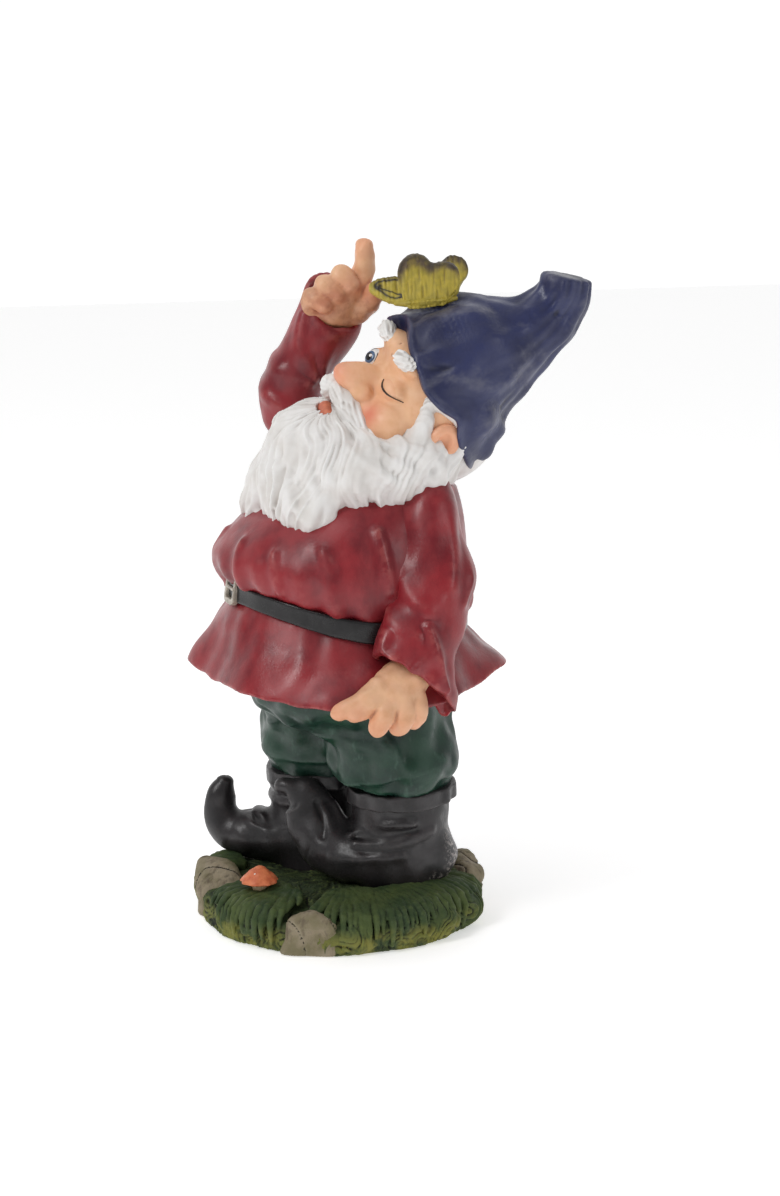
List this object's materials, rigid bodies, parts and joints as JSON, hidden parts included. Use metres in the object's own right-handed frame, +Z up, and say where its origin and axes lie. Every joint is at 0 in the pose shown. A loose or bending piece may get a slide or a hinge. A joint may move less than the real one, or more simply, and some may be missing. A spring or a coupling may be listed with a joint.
{
  "type": "garden gnome",
  "caption": "Hollow cast-resin garden gnome on a round turf base, looking up at a butterfly on his hat, one hand raised; stands on a flat underside with a pour hole.",
  "frame": {"origin": "centre of the base's flat underside, on the axis of the pour hole", "axes": "+Z up; the gnome faces -Y, so +X is towards his own left"},
  "size_m": [0.1793, 0.2136, 0.3745],
  "materials": {
    "ground": "matte",
    "stone": "matte",
    "grass": "matte",
    "mushroom_orange": "satin",
    "mushroom_stem": "matte",
    "boot_black": "satin",
    "trouser_green": "satin",
    "coat_red": "satin",
    "belt_black": "gloss",
    "buckle_silver": "satin",
    "skin": "satin",
    "eye_white": "gloss",
    "lip": "satin",
    "hair_white": "matte",
    "hat_blue": "satin",
    "butterfly_yellow": "satin"
  },
  "bodies": {
    "root": {"base_ground": "ground", "beard": "hair_white", "belt": "belt_black", "belt_buckle_frame": "buckle_silver", "belt_buckle_prong": "buckle_silver", "boot_cuff_left": "boot_black", "boot_cuff_right": "boot_black", "boot_left": "boot_black", "boot_right": "boot_black", "butterfly_body": "butterfly_yellow", "butterfly_wings_left": "butterfly_yellow", "butterfly_wings_right": "butterfly_yellow", "coat_body": "coat_red", "coat_skirt": "coat_red", "ear_left": "skin", "ear_right": "skin", "eye_right": "eye_white", "eyebrow_left": "hair_white", "eyebrow_right": "hair_white", "eyelid_left": "skin", "grass_back": "grass", "grass_front": "grass", "grass_left_side": "grass", "grass_right_side": "grass", "grass_toe": "grass", "hand_left": "skin", "hand_right": "skin", "hat": "hat_blue", "head": "skin", "lower_lip": "lip", "moustache_left": "hair_white", "moustache_right": "hair_white", "mushroom_cap": "mushroom_orange", "mushroom_stem": "mushroom_stem", "sleeve_left": "coat_red", "sleeve_right": "coat_red", "stone_front": "stone", "stone_heel": "stone", "stone_right_front": "stone", "stone_right_side": "stone", "trousers": "trouser_green"}
  },
  "joints": []
}
